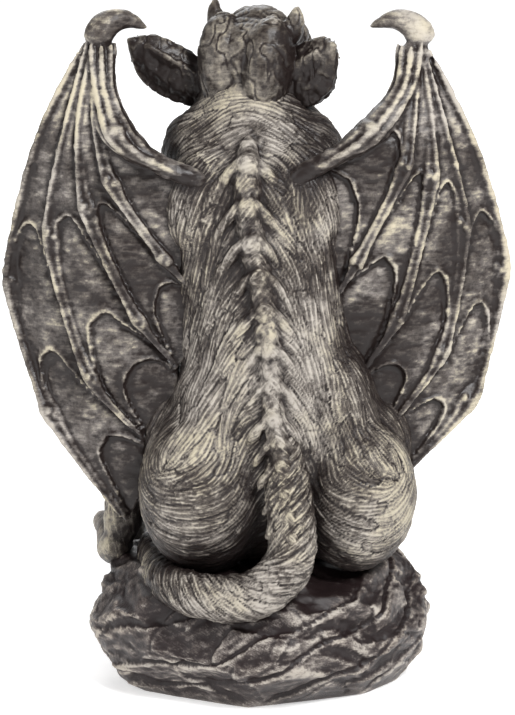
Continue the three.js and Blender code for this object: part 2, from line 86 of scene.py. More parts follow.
class Surface:
    """A mesh's points and neighbours as arrays, which can be carved along its normals."""

    def __init__(self, mesh):
        self.mesh = mesh
        self.count = len(mesh.vertices)
        flat = np.empty(self.count * 3)
        mesh.vertices.foreach_get("co", flat)
        self.points = flat.reshape(-1, 3)
        ends = np.empty(len(mesh.edges) * 2, np.int32)
        mesh.edges.foreach_get("vertices", ends)
        self.ends = ends.reshape(-1, 2)
        self.neighbours = np.maximum(np.bincount(ends, minlength=self.count), 1)

    def normals(self):
        self.mesh.vertices.foreach_set("co", self.points.ravel())
        self.mesh.update()
        flat = np.empty(self.count * 3)
        self.mesh.vertex_normals.foreach_get("vector", flat)
        return flat.reshape(-1, 3)

    def eased(self, values, times):
        """Values after each is averaged with its neighbours, over and over."""
        shape = np.shape(values)
        values = np.array(values, float).reshape(self.count, -1)
        first, second = self.ends.T
        for _ in range(times):
            sums = np.zeros_like(values)
            for axis in range(values.shape[1]):
                sums[:, axis] += np.bincount(first, values[second, axis], self.count)
                sums[:, axis] += np.bincount(second, values[first, axis], self.count)
            values = 0.5 * values + 0.5 * sums / self.neighbours[:, None]
        return values.reshape(shape)

    def carve(self, heights):
        self.points += self.normals() * np.asarray(heights)[:, None]

    def hollows(self, times):
        """How far each point lies below its eased surroundings, in millimetres."""
        return np.sum((self.eased(self.points, times) - self.points) * self.normals(), axis=1)


def chance(cells, seed):
    """A fixed random number from 0 to 1 for each whole-numbered cell."""
    mixed = cells[..., 0] * 73856093 ^ cells[..., 1] * 19349663 ^ cells[..., 2] * 83492791 ^ seed * 2654435
    mixed = ((mixed ^ (mixed >> 13)) * 1274126177) & 0xFFFFFFFF
    mixed = ((mixed ^ (mixed >> 15)) * 668265263) & 0xFFFFFFFF
    return ((mixed ^ (mixed >> 16)) & 0xFFFFFF) / 0xFFFFFF


def cloud(points, size, seed, octaves=1):
    """Smooth noise from -1 to 1 whose patches are about size across."""
    total = np.zeros(len(points))
    for octave in range(octaves):
        scaled = points * (2**octave / size) + 37.7 * octave
        cell = np.floor(scaled).astype(np.int64)
        part = scaled - cell
        part = part * part * (3 - 2 * part)
        value = np.zeros(len(points))
        for corner in np.ndindex(2, 2, 2):
            weight = np.prod(np.where(corner, part, 1 - part), axis=1)
            value += weight * chance(cell + np.array(corner), seed + octave)
        total += (2 * value - 1) * 0.5**octave
    return total


def chips(points, size, seed):
    """Distances to the nearest and the next of scattered points, in sizes, and the nearest's number."""
    scaled = points / size
    cell = np.floor(scaled).astype(np.int64)
    first = np.full(len(points), 9.0)
    second = first.copy()
    number = np.zeros(len(points))
    for step in np.ndindex(3, 3, 3):
        near = cell + np.array(step) - 1
        jitter = np.stack([chance(near, seed + axis) for axis in range(3)], axis=1)
        apart = np.linalg.norm(near + jitter - scaled, axis=1)
        nearer = apart < first
        second = np.where(nearer, first, np.minimum(second, apart))
        number = np.where(nearer, chance(near, seed + 3), number)
        first = np.where(nearer, apart, first)
    return first, second, number


def between(low, high, values):
    """Rises smoothly from 0 at low to 1 at high."""
    share = np.clip((values - low) / (high - low), 0, 1)
    return share * share * (3 - 2 * share)


class Wire:
    """A socket of a material's node tree that can be used in sums."""

    def __init__(self, tree, socket=None):
        self.tree = tree
        self.socket = socket

    def node(self, kind, settings=None, inputs=None, out=0):
        made = self.tree.nodes.new(kind)
        for name, value in (settings or {}).items():
            setattr(made, name, value)
        for name, value in (inputs or {}).items():
            if isinstance(value, Wire):
                self.tree.links.new(value.socket, made.inputs[name])
            else:
                made.inputs[name].default_value = value
        return Wire(self.tree, made.outputs[out])

    def sum(self, operation, first, second):
        return self.node("ShaderNodeMath", {"operation": operation}, {0: first, 1: second})

    def __add__(self, other):
        return self.sum("ADD", self, other)

    def __radd__(self, other):
        return self.sum("ADD", other, self)

    def __sub__(self, other):
        return self.sum("SUBTRACT", self, other)

    def __rsub__(self, other):
        return self.sum("SUBTRACT", other, self)

    def __mul__(self, other):
        return self.sum("MULTIPLY", self, other)

    def __rmul__(self, other):
        return self.sum("MULTIPLY", other, self)

    def between(self, low, high):
        limits = {"Value": self, "From Min": low, "From Max": high}
        return self.node("ShaderNodeMapRange", {"interpolation_type": "SMOOTHSTEP"}, limits)

    def mixed(self, first, second):
        """First where this mask is 0 and second where it is 1, as colours."""
        return self.node("ShaderNodeMix", {"data_type": "RGBA"}, {0: self, 6: first, 7: second}, out=2)

    def noise(self, scale, detail=3.0, stretch=(1, 1, 1), roughness=0.6):
        """Noise over this vector, scale patches to the unit, from 0 to 1."""
        placed = self.node("ShaderNodeMapping", {}, {"Vector": self, "Scale": stretch})
        inputs = {"Vector": placed, "Scale": scale, "Detail": detail, "Roughness": roughness}
        return self.node("ShaderNodeTexNoise", {}, inputs)


def resin(name, recess, middle, ridge, dusting, streaks="fur", lightness=0.0):
    """Painted resin: a dark wash in the recesses, with painted shade in the broad hollows and wherever the
    statue's own solid hides the sky, a middle coat, and light paint dragged over the ridges.

    Streaks are laid along the fur's comb, slanted as on split rock, or as the fine grain of skin."""
    material = bpy.data.materials.new(name)
    material.use_nodes = True
    tree = material.node_tree
    shader = tree.nodes["Principled BSDF"]
    start = Wire(tree)
    place = start.node("ShaderNodeTexCoord", out="Object")
    crease, hollow, painted_shade = (
        start.node("ShaderNodeAttribute", {"attribute_name": title}, out="Fac")
        for title in ("crease", "hollow", "painted_shade")
    )
    patches = place.noise(24, 3)
    mottle = place.noise(150, 4)
    grain = place.noise(1000, 3, roughness=0.75)
    if streaks == "fur":
        comb = start.node("ShaderNodeAttribute", {"attribute_name": "comb"}, out="Vector")
        strokes = 0.25 * grain + 0.75 * comb.noise(1, 3, (1.0, 0.05, 7.3), 0.75)
    elif streaks == "slanted":
        turned = place.node("ShaderNodeMapping", {}, {"Vector": place, "Rotation": (0.3, 0.4, 0.2)})
        strokes = 0.45 * grain + 0.55 * turned.noise(240, 4, (1, 1, 4.5), 0.75)
    else:
        strokes = 0.25 + 0.2 * grain + 0.3 * place.noise(430, 4, (0.3, 0.3, 1.8), 0.75)
    drag = (strokes - 0.5) * 2.5 + (mottle - 0.5) * 0.9 + (patches - 0.5) * 1.7
    # Painted shade: the level drops wherever the statue's own solid hides the sky.
    level = 0.5 + lightness - 0.6 * crease - 0.5 * hollow - 0.95 * painted_shade + drag
    # This dark coat is the wash in the creases and painted shade together: the broad hollows darken partly as
    # painted shade, and places the statue's own solid hides from the sky darken wholly as painted shade.
    wash_and_shade = level.between(0.0, 0.62)
    brushed = level.between(0.45, 1.15)
    cool = (patches * 0.7 + mottle * 0.3).between(0.42, 0.6)
    warm = place.noise(17, 3).between(0.4, 0.6)
    coat = cool.mixed(middle, dusting)
    coat = wash_and_shade.mixed(recess, coat)
    worn = (0.46, 0.42, 0.37, 1)  # the greyer of the two ridge paints
    coat = (brushed * 0.9).mixed(coat, warm.mixed(ridge, worn))
    tree.links.new(coat.socket, shader.inputs["Base Color"])
    rough = 0.34 + 0.14 * wash_and_shade + 0.2 * (mottle - 0.5)
    tree.links.new(rough.socket, shader.inputs["Roughness"])
    relief = strokes * 0.75 + mottle * 0.25
    bump = start.node("ShaderNodeBump", {}, {"Height": relief, "Distance": 0.0008, "Strength": 0.8})
    tree.links.new(bump.socket, shader.inputs["Normal"])
    shader.inputs["Specular IOR Level"].default_value = 0.3
    return material


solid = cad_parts["gargoyle"].data
solid_tree = BVHTree.FromPolygons(
    [point.co for point in solid.vertices], [face.vertices for face in solid.polygons]
)
sky_count, sky_turn = 40, 2.4
sky = []  # directions spread evenly over a ball
for i in range(sky_count):
    height = 1 - 2 * (i + 0.5) / sky_count
    ring = math.sqrt(1 - height * height)
    sky.append(Vector((ring * math.cos(i * sky_turn), ring * math.sin(i * sky_turn), height)))


def painted_shade_from_solid(surface):
    """How much of the sky the statue's solid hides from each point, from 0 to 1: painted shade, darker where
    more is hidden.
    """
    cell_size, clearance = 4.0, 3.5
    far = 0.09  # metres: how far away the solid still shelters a point
    cells = np.floor(surface.points / cell_size).astype(int)
    _, first, member = np.unique(cells, axis=0, return_index=True, return_inverse=True)
    normals = surface.normals()
    hidden = []
    for i in first:
        upright = Vector(normals[i])
        start = (Vector(surface.points[i]) + upright * clearance) * 0.001
        facing = [(way, way.dot(upright)) for way in sky if way.dot(upright) > 0.05]
        blocked = sum(share for way, share in facing if solid_tree.ray_cast(start, way, far)[0])
        hidden.append(blocked / sum(share for _, share in facing))
    return surface.eased(np.array(hidden)[member.ravel()], 16)


def part_of(mesh, height, is_upper):
    """The half of a closed mesh above or below a height, closed again by a flat cap."""
    half = bmesh.new()
    half.from_mesh(mesh)
    everything = half.verts[:] + half.edges[:] + half.faces[:]
    plane = {"plane_co": (0, 0, height), "plane_no": (0, 0, -1 if is_upper else 1)}
    bmesh.ops.bisect_plane(half, geom=everything, clear_outer=True, **plane)
    rim = [edge for edge in half.edges if edge.is_boundary]
    for edge in rim:
        edge.smooth = False
    bmesh.ops.triangulate(half, faces=bmesh.ops.holes_fill(half, edges=rim, sides=0)["faces"])
    made = bpy.data.meshes.new(mesh.name)
    half.to_mesh(made)
    half.free()
    made.materials.append(mesh.materials[0])
    return made


def settle(surface, name, material, comb=None, parting=None, depth=1.6):
    """Makes the finished object of a carved surface: what its paint needs, its paint and its place.

    A parting is a height in metres and the name of the lower of the two pieces that are made there.
    Depth is how many millimetres down the broad dark wash, partly painted shade, is full."""
    crease_depth = 0.35
    crease = surface.hollows(2) / crease_depth
    # The broad hollows take the dark wash and painted shade both.
    hollow = surface.hollows(24) / depth
    mesh = surface.mesh
    # The last of these attributes is painted shade, darker wherever the statue's own solid hides more of the
    # sky.
    for title, values in (("crease", crease), ("hollow", hollow), ("painted_shade", painted_shade_from_solid(surface))):
        attribute = mesh.attributes.new(title, "FLOAT", "POINT")
        attribute.data.foreach_set("value", np.clip(values, -0.7, 1.5))
    if comb is not None:
        attribute = mesh.attributes.new("comb", "FLOAT_VECTOR", "POINT")
        attribute.data.foreach_set("vector", comb.ravel())
    surface.points *= 0.001
    surface.normals()
    mesh.shade_smooth()
    mesh.materials.clear()
    mesh.materials.append(material)
    if parting:
        height, lower_name = parting
        pieces = {name: part_of(mesh, height, True), lower_name: part_of(mesh, height, False)}
    else:
        pieces = {name: mesh}
    for title, part in pieces.items():
        part.name = title
        piece = added(title, part)
        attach(piece, "root")
        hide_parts("gargoyle")
        print(title, sum(len(face.vertices) - 2 for face in part.polygons), "triangles")


def rock_form(directions):
    """The boulder's points in the given directions, from the nearest of its split planes."""
    turn = math.pi * (3 - math.sqrt(5))
    reach = np.full(len(directions), 9.0)
    for i in range(rock_faces):
        height = 1 - 2 * (i + 0.5) / rock_faces
        ring = math.sqrt(1 - height * height)
        normal = np.array([ring * math.cos(i * turn), ring * math.sin(i * turn), height])
        facing = np.maximum(0.05, directions @ normal)
        reach = np.minimum(reach, (0.93 + 0.06 * math.sin(i * 12.9898)) / facing)
    flat = np.maximum(np.hypot(directions[:, 0], directions[:, 1]), 1e-6)
    squared = reach * flat**-0.45  # fuller at the shoulders than a ball
    z = directions[:, 2] * reach
    belly = rock_height * 0.46
    height = np.where(z > 0, (rock_height - belly) * np.maximum(z, 0) ** 0.75, belly * z * buried)
    foot = np.where(z > 0, 1, 1 - (1 - foot_share) * np.clip(-z * buried, 0, 1) ** 1.5)
    return np.stack(
        [
            rock_width / 2 * directions[:, 0] * squared * foot,
            rock_depth / 2 * directions[:, 1] * squared * foot,
            np.maximum(0, belly + height),
        ],
        axis=1,
    )


boulder = bmesh.new()
boulder_points = ball(boulder, 150, 90)
for point, place in zip(boulder_points, rock_form(np.array([point.co for point in boulder_points]))):
    point.co = place
rock = Surface(skin_round(boulder, voxel=1.5, easing=4))
above_foot = between(0.5, 9, rock.points[:, 2])
warped = rock.points + 9 * np.stack([cloud(rock.points, 34, seed) for seed in (1, 2, 3)], axis=1)
ledge = warped @ np.array(ledge_slant) / ledge_height
ledge_share = ledge - np.floor(ledge)
first, second, number = chips(warped * (0.7, 0.8, 1.5), 24, 5)
split = np.exp(-(((ledge_share - 0.04) / 0.06) ** 2)) * between(-0.5, 0.3, cloud(rock.points, 26, 4))
shape = 1.8 * ledge_share - 2.0 * split + 3.0 * (number - 0.5)
shape -= 0.9 * np.exp(-(((second - first) / 0.06) ** 2)) * between(-0.2, 0.5, cloud(rock.points, 22, 6))
shape += 2.2 * cloud(warped * (0.6, 0.6, 1.6), 14, 8, 4)
rock.carve(above_foot * (shape - 1.6))
rock.points = rock.eased(rock.points, 1)
rock.carve(above_foot * 0.4 * cloud(warped * (0.5, 0.5, 1.4), 3.4, 11, 2))
rock.points[:, 2] = np.maximum(rock.points[:, 2], 0)
rock_paint = resin(
    "painted rock",
    recess=(0.016, 0.01, 0.01, 1),
    middle=(0.078, 0.062, 0.056, 1),
    ridge=(0.42, 0.37, 0.31, 1),
    dusting=(0.14, 0.12, 0.11, 1),
    streaks="slanted",
    lightness=-0.22,
)
settle(rock, "rock", rock_paint)

# Body. The trunk and the two haunches, of the same casting: thick fur combed away from the spine and
# hung in bowls round the haunches. Rounded masses are skinned over and each lock is then cut along it.
figure_foot = rock_height  # the figure's own heights start at the top of the rock
trunk_rows = [
    (-12, 20, -6, 42, 34),
    (-12, 21, 26, 50, 43),
    (-11, 20, 62, 54, 49),
    (-7, 15, 105, 54, 50),
    (-3, 7, 145, 52, 50),
    (0, -2, 185, 56, 50),
    (2, -8, 220, 57, 46),
    (4, -14, 248, 47, 38),
    (5, -20, 270, 34, 32),
    (5, -24, 290, 25, 26),
]
haunches = [((32, 38, 44), (40, 43, 51)), ((-57, 38, 42), (37, 40, 47))]
knees = [(62, -36, 80), (-75, -36, 76)]
sides = (1, -1)  # the figure's left, then its right
spine_knobs = 13
spine_points = [
    (6, 30, 257),
    (7, 44, 226),
    (4, 51, 196),
    (-2, 58, 166),
    (-6, 64, 130),
    (-9, 71, 95),
    (-13, 78, 72),
    (-17, 86, 44),
    (-20, 94, 22),
]


def mass(bm, centre, radii, turns=(0, 0, 0)):
    """A rounded mass with three radii, turned about X, Y and Z by degrees."""
    points = ball(bm, 32, 20)
    bmesh.ops.scale(bm, vec=radii, verts=points)
    for axis, degrees in zip("XYZ", turns):
        turning = Matrix.Rotation(math.radians(degrees), 3, axis)
        bmesh.ops.rotate(bm, matrix=turning, verts=points)
    bmesh.ops.translate(bm, vec=centre, verts=points)


def smooth_line(rows, shares):
    """Points of a smooth curve through the rows, for shares of the way along it."""
    rows = np.array(rows, float)
    padded = np.vstack([2 * rows[0] - rows[1], rows, 2 * rows[-1] - rows[-2]])
    along = np.clip(np.asarray(shares, float), 0, 1) * (len(rows) - 1)
    start = np.minimum(along.astype(int), len(rows) - 2)
    share = (along - start)[:, None]
    before, first, second, after = (padded[start + i] for i in range(4))
    pairs = ((before, first), (first, second), (second, after))
    earlier, here, later = (np.linalg.norm(b - a, axis=1)[:, None] ** 0.5 + 1e-3 for a, b in pairs)
    leave = (first - before) / earlier - (second - before) / (earlier + here) + (second - first) / here
    arrive = (second - first) / here - (after - first) / (here + later) + (after - second) / later
    leave, arrive = leave * here, arrive * here
    return (
        first
        + leave * share
        + (-3 * first + 3 * second - 2 * leave - arrive) * share**2
        + (2 * first - 2 * second + leave + arrive) * share**3
    )


def limb(bm, rows, side=(1, 0, 0), blunt=6, around=20, rings=28):
    """A limb swept along a smooth path. Each row is a point and two radii: along side, and square to it."""
    rows = [tuple(row) + (row[3],) * (5 - len(row)) for row in rows]
    points = ball(bm, around, rings)
    unit = np.array([point.co for point in points])
    share = np.arccos(np.clip(unit[:, 2], -1, 1)) / math.pi
    angle = np.arctan2(unit[:, 1], unit[:, 0])
    path = [row[:3] for row in rows]
    radii = smooth_line([row[3:5] for row in rows], share)
    swell = np.sqrt(np.maximum(0, 1 - np.abs(2 * share - 1) ** blunt))[:, None]
    along = smooth_line(path, share + 1e-3) - smooth_line(path, share - 1e-3)
    along /= np.linalg.norm(along, axis=1)[:, None]
    across = np.array(side) - along * (along @ np.array(side))[:, None]
    across /= np.linalg.norm(across, axis=1)[:, None]
    upright = np.cross(along, across)
    placed = smooth_line(path, share)
    placed += across * swell * radii[:, :1] * np.cos(angle)[:, None]
    placed += upright * swell * radii[:, 1:] * np.sin(angle)[:, None]
    for point, place in zip(points, placed):
        point.co = place


def search_tree(spots):
    """A tree that finds the nearest spots, by their numbers."""
    tree = KDTree(len(spots))
    for i, spot in enumerate(spots):
        tree.insert(spot, i)
    tree.balance()
    return tree


def combed(surface, flow, spacing, reach, seed):
    """Lays locks of fur along a flow, evenly spaced, and measures each point of the surface against them.

    Gives how near each point is to the middle of its lock (1 there, 0 in the groove), how far along the
    lock it is from root to tip, its place across the lock in millimetres, and the lock's number."""
    points, normals = surface.points, surface.normals()
    spots = [Vector(point) for point in points]
    uprights = [Vector(normal) for normal in normals]
    ways = [Vector(way) for way in flow]
    tree = search_tree(spots)
    step = min(spacing * 0.75, 3.0)
    taken = {}
    samples, headings, owners, shares = [], [], [], []

    def is_crowded(spot, room):
        cx, cy, cz = (math.floor(value / spacing) for value in spot)
        for x in (cx - 1, cx, cx + 1):
            for y in (cy - 1, cy, cy + 1):
                for z in (cz - 1, cz, cz + 1):
                    if any((other - spot).length_squared < room * room for other in taken.get((x, y, z), ())):
                        return True
        return False

    def traced(start, way, length):
        line = []
        spot, heading = spots[start], ways[start] * way
        for _ in range(max(1, round(length / step))):
            moved = spot + heading * step
            near, index, gap = tree.find(moved)
            if gap > 2.5 * step:
                break
            spot = moved - uprights[index] * (moved - near).dot(uprights[index])
            if is_crowded(spot, spacing * 0.6):
                break
            turned = ways[index] if ways[index].dot(heading) > 0 else -ways[index]
            heading = (heading + turned).normalized()
            line.append((spot, heading * way))
        return line

    draw = np.random.default_rng(seed)
    order = draw.permutation(len(spots))
    lengths = reach * draw.uniform(0.6, 1.3, len(spots))
    lock = 0
    for start in order:
        if is_crowded(spots[start], spacing * 0.92):
            continue
        back = traced(start, -1, lengths[start] / 2)
        line = back[::-1] + [(spots[start], ways[start])] + traced(start, 1, lengths[start] / 2)
        for i, (spot, heading) in enumerate(line):
            samples.append(spot)
            headings.append(heading)
            owners.append(lock)
            shares.append(i / max(1, len(line) - 1))
            key = tuple(math.floor(value / spacing) for value in spot)
            taken.setdefault(key, []).append(spot)
        lock += 1

    near = search_tree(samples)
    closest = min(9, len(samples))
    indices = np.array([[found[1] for found in near.find_n(spot, closest)] for spot in spots])
    samples, headings = np.array(samples), np.array(headings)
    owners, shares = np.array(owners), np.array(shares)
    offset = points[:, None] - samples[indices]
    lengthwise = np.einsum("ijk,ijk->ij", offset, headings[indices])
    beyond = np.maximum(0, np.abs(lengthwise) - step)
    sideways = np.linalg.norm(offset - lengthwise[..., None] * headings[indices], axis=2)
    gaps = np.hypot(sideways, beyond)
    best = np.argmin(gaps, axis=1)
    rows = np.arange(len(points))
    mine = owners[indices[rows, best]]
    first = gaps[rows, best]
    second = np.where(owners[indices] != mine[:, None], gaps, spacing * 1.5).min(axis=1)
    middle = (second - first) / (second + first + 1e-6)
    rights = np.cross(normals, headings[indices[rows, best]])
    across = np.einsum("ij,ij->i", offset[rows, best], rights)
    return np.clip(middle, 0, 1), shares[indices[rows, best]], across, mine


def tangent(normals, flow):
    """The flow laid flat on the surface, as unit vectors."""
    flow = flow - normals * np.sum(flow * normals, axis=1)[:, None]
    return flow / np.maximum(np.linalg.norm(flow, axis=1), 1e-6)[:, None]


def trunk_flow(points):
    """Down and away from the spine behind, and down towards the breastbone in front."""
    rows = np.array(trunk_rows, float)
    middle_x = np.interp(points[:, 2], rows[:, 2], rows[:, 0])
    middle_y = np.interp(points[:, 2], rows[:, 2], rows[:, 1])
    angle = np.arctan2(points[:, 0] - middle_x, points[:, 1] - middle_y)
    out = np.stack([np.cos(angle), -np.sin(angle), np.zeros(len(points))], axis=1) * np.sign(angle)[:, None]
    degrees = np.degrees(np.abs(angle))
    slant = np.interp(degrees, [0, 12, 30, 60, 100, 130, 180], [46, 38, 19, 9, 6, 14, 30])
    slant += np.interp(points[:, 2], [222, 255, 275], [0, 26, 46]) * (degrees < 110)
    slant += 13 * cloud(points, 40, 21) + 8 * cloud(points, 13, 23)
    slant = np.radians(slant)[:, None]
    return np.array([0, 0, -1]) * np.cos(slant) + out * np.sin(slant)


def haunch_flow(points, centre, radii, out):
    """Round the haunch in bowls. Also gives how much each point belongs to the haunch."""
    scaled = np.linalg.norm((points - centre) / radii, axis=1)
    belongs = between(0, 1, (1.34 - scaled) / 0.24)
    belongs *= 1 - between(0.1, 0.75, (points[:, 2] - centre[2]) / radii[2])
    bowl_middle = np.array(centre) + (out * 4, 0, radii[2] * 1.05)
    axis = np.array([out * 0.3, 0.95, 0])
    around = np.cross(axis, points - bowl_middle)
    around[:, 2] += 9 * cloud(points, 17, 27)
    return around, belongs


def turned(normals, flow, radians):
    """The flow turned on the surface by an angle for each point."""
    radians = np.asarray(radians)[:, None]
    return flow * np.cos(radians) + np.cross(normals, flow) * np.sin(radians)


def furred(surface, flow, lock_width, lock_length, hair_width, seed, depth=1.0):
    """Cuts locks and then finer hair into the surface, and gives the hair's place for its paint."""
    tuft, share, across, lock = combed(surface, flow, lock_width, lock_length, seed)
    cells = np.stack([lock, lock * 3, lock * 7], axis=1).astype(np.int64)
    swing = 0.42 * (chance(cells, seed) - 0.5) - 0.3 * np.clip(across / lock_width, -0.6, 0.6) * share
    hair_flow = turned(surface.normals(), flow, swing)
    hair_length = lock_length * 0.55
    hair, hair_share, hair_across, hair_lock = combed(surface, hair_flow, hair_width, hair_length, seed + 1)
    lift = 0.9 * (tuft**0.6 - 0.6) + 0.9 * share * (1 - share**5) + 0.9 * (chance(cells, seed + 2) - 0.5)
    lift += 0.5 * (hair**0.9 - 0.5) + 0.25 * hair_share * (1 - hair_share**5)
    surface.carve(depth * lift + 0.1 * cloud(surface.points, 2.4, seed, 2))
    return np.stack([hair_across + 7.3 * (hair_lock % 97), hair_share * 30, hair_lock * 0.37], axis=1)


body_shells = bmesh.new()
limb(body_shells, trunk_rows, blunt=10, around=40, rings=60)
for side in sides:
    mass(body_shells, (side * 21 + 1, -36, 204), (25, 17, 27), (-12, 0, side * 8))  # breast
    mass(body_shells, (side * 26 + 3, 18, 218), (27, 21, 38), (14, side * -10, 0))  # shoulder blade
    mass(body_shells, (side * 30 + 4, -8, 246), (26, 24, 20), (0, side * 32, 0))  # slope of the neck
    mass(body_shells, (side * 31 - 10, 25, 82), (33, 37, 58), (4, side * -6, 0))  # flank above the haunch
mass(body_shells, (-3, -26, 154), (40, 22, 58), (6, 0, 0))  # ribs
mass(body_shells, (-8, -13, 88), (45, 26, 60))  # belly
for (centre, radii), knee in zip(haunches, knees):
    hx, hy, hz = centre
    kx, ky, kz = knee
    out = math.copysign(1, hx)
    mass(body_shells, centre, radii)
    thigh = [
        (hx - out * 4, hy - 4, hz + 20, 30, 38),
        (hx * 0.7 + kx * 0.3 + out * 4, hy * 0.6 + ky * 0.4, hz * 0.5 + kz * 0.5 + 6, 29, 37),
        (hx * 0.3 + kx * 0.7 + out * 4, hy * 0.3 + ky * 0.7, hz * 0.2 + kz * 0.8 + 4, 24, 31),
        (kx, ky, kz, 17, 20),
    ]
    limb(body_shells, thigh)
body_masses = Surface(skin_round(body_shells, voxel=2.6, easing=10))

body_forms = bmesh.new()
ridge_shares = np.linspace(0, 1, 9)
ridge_line = zip(smooth_line(spine_points, ridge_shares), ridge_shares)
ridge = [(x, y - 5, z, 8 - 2.5 * share, 8) for (x, y, z), share in ridge_line]
limb(body_forms, ridge, blunt=12, rings=60)
for i in range(spine_knobs):
    share = ((i + 0.5) / spine_knobs) ** 0.85
    x, y, z = smooth_line(spine_points, [share])[0]
    size = 10.5 - 4.5 * share
    mass(body_forms, (x, y, z), (size * 0.66, size * 0.72, size * 0.8), (-18, 0, 0))
    for side in sides:  # a lock of fur draped down either side of the knob, shorter over the rump
        drape = [
            (x, y, z + size * 0.6, size * 0.42),
            (x + side * size * 1.0, y - size * 0.25, z - size * 0.5, size * 0.34),
            (x + side * size * 2.0, y - size * 0.75, z - size * 2.1, size * 0.26),
            (x + side * size * 2.9, y - size * 1.35, z - size * 4.2, size * 0.16),
        ]
        limb(body_forms, drape[: 3 if share > 0.62 else 4], side=(0, 1, 0), blunt=4, rings=40)
body_masses.normals()
body_forms.from_mesh(body_masses.mesh)
body = Surface(skin_round(body_forms, voxel=1.18, easing=4))
normals = body.normals()
flow = tangent(normals, trunk_flow(body.points))
for (centre, radii), side in zip(haunches, sides):
    around, belongs = haunch_flow(body.points, centre, radii, side)
    around = tangent(normals, around)
    around *= np.where(np.sum(around * flow, axis=1) < 0, -1, 1)[:, None]
    flow = tangent(normals, flow * (1 - belongs)[:, None] + around * belongs[:, None])
spine_line = smooth_line(spine_points, np.linspace(0, 1, 60))
from_spine = np.min(np.linalg.norm(body.points[:, None] - spine_line[None, ::3], axis=2), axis=1)
bony = between(0, 1, (15 - from_spine) / 6)
comb = furred(body, flow, lock_width=9.5, lock_length=48, hair_width=2.5, seed=3, depth=1 - 0.6 * bony)
body.carve(bony * 0.55 * cloud(body.points, 3.6, 33, 2))
body.points[:, 2] += figure_foot
fur_paint = resin(
    "painted fur",
    recess=(0.016, 0.011, 0.01, 1),
    middle=(0.085, 0.07, 0.059, 1),
    ridge=(0.5, 0.445, 0.33, 1),
    dusting=(0.165, 0.146, 0.13, 1),
)
waist = 0.178  # metres: where the trunk ends and the haunches begin
settle(body, "trunk", fur_paint, comb, (waist, "haunches"))

# Limbs. The arms, shins, feet and hands, of the same casting, with horny claws: furred down to the
# wrist and heel. They are swept along their bones and skinned together.
arm_rows = [
    (40, -6, 234, 24, 24),
    (50, -16, 208, 25, 29),
    (54, -25, 172, 21, 25),
    (55, -28, 138, 17, 20),
    (52, -36, 108, 17, 20),
    (46, -49, 66, 14, 16),
    (40, -60, 28, 11, 12),
]
elbow_fur = [
    ((53, -10, 150), (54, -6, 132), (52, -10, 112), 8),
    ((57, -16, 138), (59, -12, 120), (56, -14, 96), 7),
    ((50, -20, 118), (50, -14, 100), (48, -18, 78), 7),
]
hocks = [(87, -6, -5), (-73, -12, -4)]
toes = [(84, -60, -12), (-76, -60, -12)]


def claw(bm, root, tip, radius, bend):
    """A curved, pointed claw, fang or horn from its root to its tip."""
    root, tip, bend = np.array(root, float), np.array(tip, float), np.array(bend, float)
    middle = (root + tip) / 2 + bend
    rows = [(*root, radius), (*middle, radius * 0.72), (*tip, radius * 0.16)]
    limb(bm, rows, blunt=12, around=12, rings=14)


limb_shells = bmesh.new()
for side in sides:
    hand = (side * 35 - 3, -65, 4)
    limb(limb_shells, [(side * row[0], *row[1:]) for row in arm_rows] + [(*hand, 13, 10)])
    mass(limb_shells, (hand[0], hand[1] - 4, hand[2] + 1), (17, 15, 10), (14, 0, 0))
    for *points, radius in elbow_fur:
        lock = [(side * x, y, z, radius * (1 - 0.35 * i)) for i, (x, y, z) in enumerate(points)]
        limb(limb_shells, lock, blunt=4)
    for finger in (-1.5, -0.5, 0.5, 1.5):
        x = hand[0] + finger * 8
        reach = hand[1] - 19 + abs(finger) * 2
        knuckle = (x, hand[1] - 13, hand[2] + 5, 4.8)
        limb(limb_shells, [(x, hand[1] - 4, hand[2] + 3, 5), knuckle, (x, reach, hand[2] - 3, 4)])
        claw(limb_shells, (x, reach + 6, hand[2] + 1), (x, reach - 7, hand[2] - 14), 3.4, (0, -4, 2))
for (kx, ky, kz), (ox, oy, oz), (tx, ty, tz) in zip(knees, hocks, toes):
    shin = ((kx + ox) / 2, (ky + oy) / 2 - 8, (kz + oz) / 2, 15)
    limb(limb_shells, [(kx, ky - 4, kz + 8, 16), shin, (ox, oy, oz, 11)])
    foot = [
        (ox, oy + 8, oz + 4, 10),
        (ox, oy - 20, oz - 4, 12, 11),
        (tx, ty + 14, tz + 8, 16, 11),
        (tx, ty - 2, tz + 4, 15, 9),
    ]
    limb(limb_shells, foot)
    for toe in (-1, 0, 1):
        x = tx + toe * 10
        reach = ty - 13 + abs(toe) * 4
        knuckle = (x + toe * 2, (ty + reach) / 2, tz + 8, 6.5)
        limb(limb_shells, [(x, ty + 6, tz + 6, 7), knuckle, (x + toe * 2, reach, tz - 1, 5)])
        claw(limb_shells, (x + toe * 2, reach + 6, tz + 4), (x + toe * 2, reach - 11, tz - 12), 4, (0, -4, 3))
limbs = Surface(skin_round(limb_shells, voxel=1.7, easing=4))
sway = 0.3 * cloud(limbs.points, 30, 41)[:, None] * np.array([[1, 0, 0]])
flow = tangent(limbs.normals(), np.array([[0.0, 0.12, -1.0]]) + sway)
furry = between(6, 24, limbs.points[:, 2])
comb = furred(limbs, flow, lock_width=9, lock_length=38, hair_width=3.2, seed=7, depth=furry)
limbs.carve((1 - furry) * 0.4 * cloud(limbs.points, 4, 43, 2))
limbs.points[:, 2] += figure_foot
settle(limbs, "limbs", fur_paint, comb)

